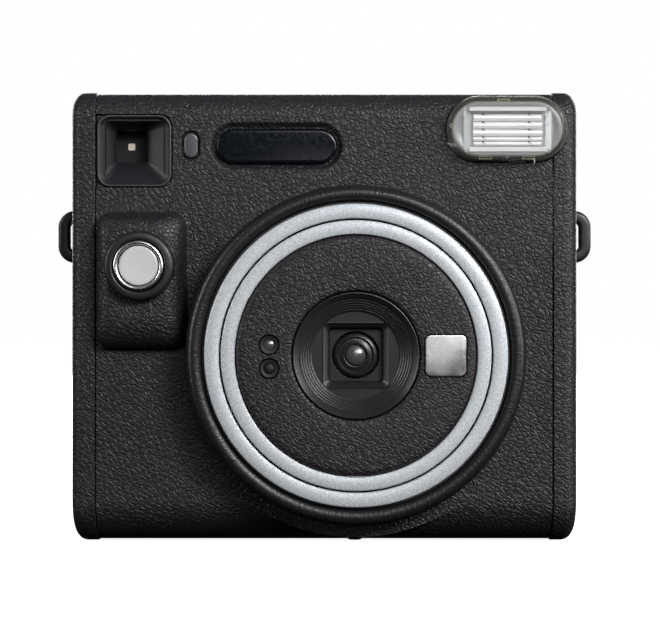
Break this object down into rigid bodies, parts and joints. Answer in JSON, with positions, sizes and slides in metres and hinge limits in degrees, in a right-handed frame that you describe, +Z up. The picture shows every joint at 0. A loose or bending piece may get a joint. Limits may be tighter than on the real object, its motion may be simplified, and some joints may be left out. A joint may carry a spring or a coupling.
{
  "type": "instant camera",
  "caption": "Square-format instant camera in black leather-grained plastic, with a ring-turned pop-out lens, corner flash, shutter button on a grip, hinged film door and film exit on top.",
  "frame": {"origin": "on the table under the middle of the camera's box", "axes": "+X to the right as seen from the front, +Y from the lens to the back, +Z up"},
  "size_m": [0.1468, 0.0608, 0.1202],
  "materials": {
    "leatherette": "soft leather-grained black",
    "black_plastic": "satin",
    "gloss_black": "gloss",
    "silver_trim": "fine silver metallic",
    "button_silver": "satin silver",
    "polished_metal": "polished",
    "clear_plastic": "clear",
    "lens_glass": "coated",
    "reflector": "polished",
    "grey_plastic": "smoked",
    "white_plastic": "satin",
    "steel": "brushed",
    "rubber": "matte",
    "board_green": "matte",
    "film_white": "matte"
  },
  "bodies": {
    "camera_body": {"front_cover": "leatherette", "rear_cover": "leatherette", "side_cover_left": "leatherette", "side_cover_right": "leatherette", "strap_lug_left": "black_plastic", "strap_lug_right": "black_plastic", "case_screw_left": "steel", "case_screw_right": "steel", "foot_front": "rubber", "foot_rear": "rubber", "badge_plate": "gloss_black", "flash_sensor_window": "grey_plastic", "viewfinder_bezel": "black_plastic", "viewfinder_front_lens": "lens_glass", "viewfinder_tube": "black_plastic", "viewfinder_rear_lens": "lens_glass", "eyepiece_frame": "rubber", "flash_window": "clear_plastic", "flash_reflector": "reflector", "flash_tube": "lens_glass", "flash_capacitor": "black_plastic", "button_collar": "black_plastic", "button_bezel": "polished_metal", "button_spring": "steel", "guide_tube": "black_plastic", "chassis": "black_plastic", "film_cartridge": "black_plastic", "film_sheets": "film_white", "roller_bracket": "steel", "drive_motor": "steel", "circuit_board": "board_green", "battery_lower": "steel", "battery_upper": "steel", "counter_window": "clear_plastic"},
    "mode_ring": {"ring_sleeve": "black_plastic", "ring_grip": "rubber", "ring_trim": "silver_trim"},
    "lens_barrel": {"barrel_tube": "black_plastic", "barrel_trim": "silver_trim", "front_disc": "leatherette", "selfie_mirror": "polished_metal", "meter_lenses": "lens_glass", "lens_hood": "black_plastic", "shutter_housing": "black_plastic", "front_lens": "lens_glass", "rear_lens": "lens_glass"},
    "blade_upper": {"shutter_blade_upper": "steel"},
    "blade_lower": {"shutter_blade_lower": "steel"},
    "shutter_button": {"shutter_button": "button_silver"},
    "film_door": {"film_door": "leatherette", "door_window": "clear_plastic"},
    "door_latch": {"door_latch": "black_plastic"},
    "battery_door": {"battery_door": "black_plastic"},
    "exit_flap": {"exit_flap": "black_plastic"},
    "film_claw": {"film_claw": "steel"},
    "roller_front": {"roller_front": "steel"},
    "roller_rear": {"roller_rear": "steel"},
    "idler_gear": {"idler_gear": "white_plastic"},
    "motor_pinion": {"motor_pinion": "white_plastic"},
    "counter_dial": {"counter_dial": "white_plastic"}
  },
  "joints": [
    {"name": "mode_ring_turn", "type": "hinge", "parent": "camera_body", "child": "mode_ring", "pos_m": [0.0082, -0.0164, 0.0504], "axis": [0, -1, 0], "range_deg": [0, 60]},
    {"name": "lens_slide", "type": "slide", "parent": "camera_body", "child": "lens_barrel", "axis": [0, -1, 0], "range_m": [0, 0.018]},
    {"name": "blade_upper_swing", "type": "hinge", "parent": "lens_barrel", "child": "blade_upper", "pos_m": [-0.0013, -0.01525, 0.0524], "axis": [0, -1, 0], "range_deg": [0, 30], "stiffness_Nm_per_rad": 0.0002},
    {"name": "blade_lower_swing", "type": "hinge", "parent": "lens_barrel", "child": "blade_lower", "pos_m": [-0.0013, -0.01385, 0.0484], "axis": [0, -1, 0], "range_deg": [-30, 0]},
    {"name": "shutter_press", "type": "slide", "parent": "camera_body", "child": "shutter_button", "axis": [0, 1, 0], "range_m": [0, 0.0012], "stiffness_N_per_m": 200},
    {"name": "film_door_hinge", "type": "hinge", "parent": "camera_body", "child": "film_door", "pos_m": [0.0539, 0.02705, 0.0572], "axis": [0, 0, -1], "range_deg": [0, 100]},
    {"name": "door_latch_slide", "type": "slide", "parent": "film_door", "child": "door_latch", "axis": [0, 0, 1], "range_m": [0, 0.004], "stiffness_N_per_m": 60},
    {"name": "battery_door_hinge", "type": "hinge", "parent": "camera_body", "child": "battery_door", "pos_m": [-0.06625, 0.01935, 0.0405], "axis": [0, 0, -1], "range_deg": [0, 95]},
    {"name": "exit_flap_hinge", "type": "hinge", "parent": "camera_body", "child": "exit_flap", "pos_m": [0.0082, 0.01235, 0.11915], "axis": [-1, 0, 0], "range_deg": [0, 80], "stiffness_Nm_per_rad": 0.001},
    {"name": "film_claw_slide", "type": "slide", "parent": "camera_body", "child": "film_claw", "axis": [0, 0, 1], "range_m": [0, 0.009], "stiffness_N_per_m": 30},
    {"name": "roller_front_spin", "type": "hinge", "parent": "camera_body", "child": "roller_front", "pos_m": [0.008, 0.00625, 0.107], "axis": [1, 0, 0], "continuous": true},
    {"name": "roller_rear_spin", "type": "hinge", "parent": "camera_body", "child": "roller_rear", "pos_m": [0.008, 0.01455, 0.107], "axis": [1, 0, 0], "continuous": true},
    {"name": "idler_spin", "type": "hinge", "parent": "camera_body", "child": "idler_gear", "pos_m": [0.053, 0.008, 0.09707], "axis": [1, 0, 0], "continuous": true},
    {"name": "pinion_spin", "type": "hinge", "parent": "camera_body", "child": "motor_pinion", "pos_m": [0.053, -0.00091, 0.09383], "axis": [1, 0, 0], "continuous": true},
    {"name": "counter_turn", "type": "hinge", "parent": "camera_body", "child": "counter_dial", "pos_m": [-0.048, 0.0248, 0.028], "axis": [0, -1, 0], "continuous": true}
  ],
  "couplings": [
    {"joint": "lens_slide", "follows": "mode_ring_turn", "m_per_rad": 0.017189},
    {"joint": "blade_lower_swing", "follows": "blade_upper_swing", "ratio": -1},
    {"joint": "roller_rear_spin", "follows": "roller_front_spin", "ratio": -1},
    {"joint": "idler_spin", "follows": "roller_front_spin", "ratio": -0.7},
    {"joint": "pinion_spin", "follows": "roller_front_spin", "ratio": 1.1667}
  ]
}
